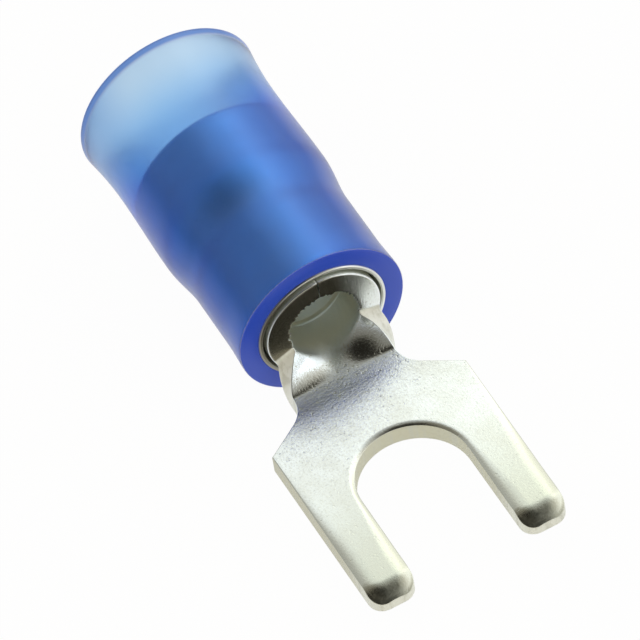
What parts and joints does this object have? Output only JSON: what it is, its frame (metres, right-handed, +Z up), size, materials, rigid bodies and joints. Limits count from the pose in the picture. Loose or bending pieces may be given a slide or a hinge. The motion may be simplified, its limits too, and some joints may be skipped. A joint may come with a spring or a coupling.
{
  "type": "insulated fork terminal",
  "caption": "Crimp fork terminal: flat tinned fork with an open stud slot, rolled wire barrel with a butt seam, thin metal grip sleeve and a blue nylon insulator with a flared mouth.",
  "frame": {"origin": "on the wire barrel's axis, in the plane of the insulator's front face", "axes": "+X along the wire barrel towards the fork's tips, +Z up from the fork's flat towards the barrel's seam"},
  "size_m": [0.0192, 0.0068, 0.006],
  "materials": {
    "tinned_copper": "satin tin plating",
    "sleeve_metal": "satin tin plating",
    "blue_nylon": "clear tinted nylon, satin"
  },
  "bodies": {
    "root": {"terminal": "tinned_copper", "grip_sleeve": "sleeve_metal", "insulator": "blue_nylon"}
  },
  "joints": []
}
